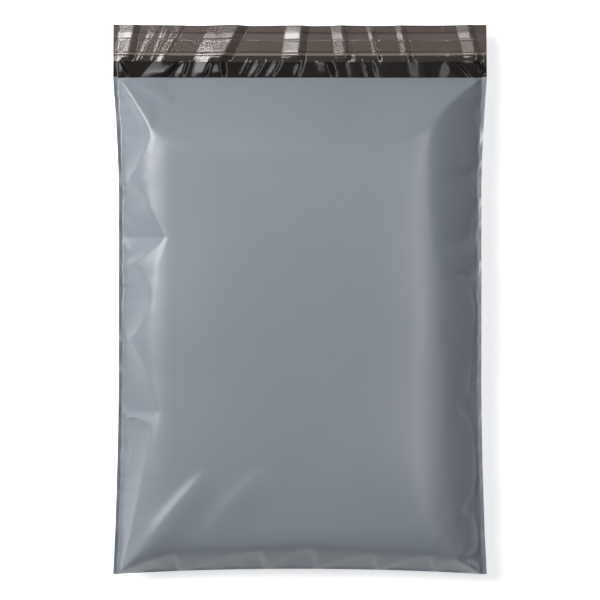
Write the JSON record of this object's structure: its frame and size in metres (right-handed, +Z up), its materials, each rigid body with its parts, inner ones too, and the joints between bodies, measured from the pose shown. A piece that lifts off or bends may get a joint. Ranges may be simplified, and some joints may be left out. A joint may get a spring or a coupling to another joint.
{
  "type": "poly mailer bag",
  "caption": "Filled poly mailer bag of grey film lying on its back, with welded side seams, a folded bottom edge and a dark lip whose adhesive strip is under its release liner.",
  "frame": {"origin": "centre of the bag's outline, on the surface that it lies on", "axes": "+X across the bag, +Y along it towards the lip, +Z up through its thickness; the front panel faces +Z"},
  "size_m": [0.356, 0.524, 0.054],
  "materials": {
    "grey_film": "satin grey outer face of a polyethylene film",
    "black_film": "glossy black inner face of the same film, seen on the lip",
    "adhesive": "tacky amber adhesive over black film",
    "liner_film": "clear release film, embossed with small diamonds"
  },
  "bodies": {
    "root": {"film_pouch": "grey_film", "adhesive_strip": "adhesive", "release_liner": "liner_film"}
  },
  "joints": []
}
